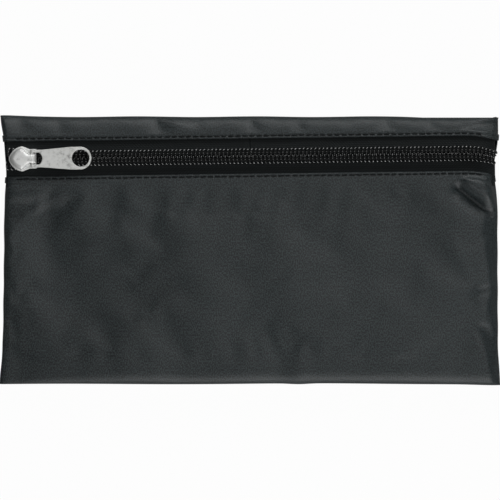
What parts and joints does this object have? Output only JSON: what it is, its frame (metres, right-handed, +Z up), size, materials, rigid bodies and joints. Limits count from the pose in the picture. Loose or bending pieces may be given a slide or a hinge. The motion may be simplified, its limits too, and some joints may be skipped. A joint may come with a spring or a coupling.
{
  "type": "zip pencil case",
  "caption": "Flat rectangular cloth pencil case with a coil zip near one long edge, a domed metal slider and a flat pull tab with a round hole.",
  "frame": {"origin": "middle of the face the case lies on", "axes": "+X along the zip from its closed end to its open end, +Y across the case towards the fold beside the zip, +Z up out of the zip side"},
  "size_m": [0.205, 0.11, 0.0145],
  "materials": {
    "cloth": "matte plain weave",
    "tape": "matte herringbone weave",
    "coil": "semi-gloss nylon",
    "cord": "matte knitted",
    "thread": "matte twisted",
    "slider_metal": "satin worn",
    "spring_steel": "satin"
  },
  "bodies": {
    "pouch": {"back_panel": "cloth", "front_panel": "cloth", "lower_tape": "tape", "lower_coil": "coil", "lower_coil_thread": "thread", "lower_coil_cord": "cord", "lower_topstitch": "thread", "left_side_seam": "thread", "left_overedge_thread": "thread", "right_side_seam": "thread", "right_overedge_thread": "thread"},
    "flap": {"top_strip": "cloth", "upper_tape": "tape", "upper_coil": "coil", "upper_coil_thread": "thread", "upper_coil_cord": "cord", "upper_topstitch": "thread"},
    "slider": {"slider_body": "slider_metal", "slider_crown": "slider_metal"},
    "lock": {"lock_spring": "spring_steel"},
    "pull_tab": {"puller": "slider_metal"}
  },
  "joints": [
    {"name": "zip_travel", "type": "slide", "parent": "pouch", "child": "slider", "axis": [0.9999, 0.0127, 0], "range_m": [0, 0.182], "deforming": ["upper_tape", "upper_coil", "upper_coil_cord", "upper_coil_thread", "lower_coil", "lower_coil_cord", "lower_coil_thread"]},
    {"name": "mouth_opening", "type": "hinge", "parent": "pouch", "child": "flap", "pos_m": [0, 0.055, 0.0005], "axis": [-1, 0, 0], "range_deg": [0, 55]},
    {"name": "puller_swing", "type": "hinge", "parent": "slider", "child": "pull_tab", "pos_m": [-0.08924, 0.03737, 0.013], "axis": [0.0127, -0.9999, 0], "range_deg": [0, 130]},
    {"name": "lock_lift", "type": "hinge", "parent": "slider", "child": "lock", "pos_m": [-0.09694, 0.03727, 0.0125], "axis": [0.0127, -0.9999, 0], "range_deg": [0, 4]}
  ],
  "couplings": [
    {"joint": "mouth_opening", "follows": "zip_travel", "rad_per_m": 5.274},
    {"joint": "lock_lift", "follows": "puller_swing", "ratio": 0.0307}
  ]
}
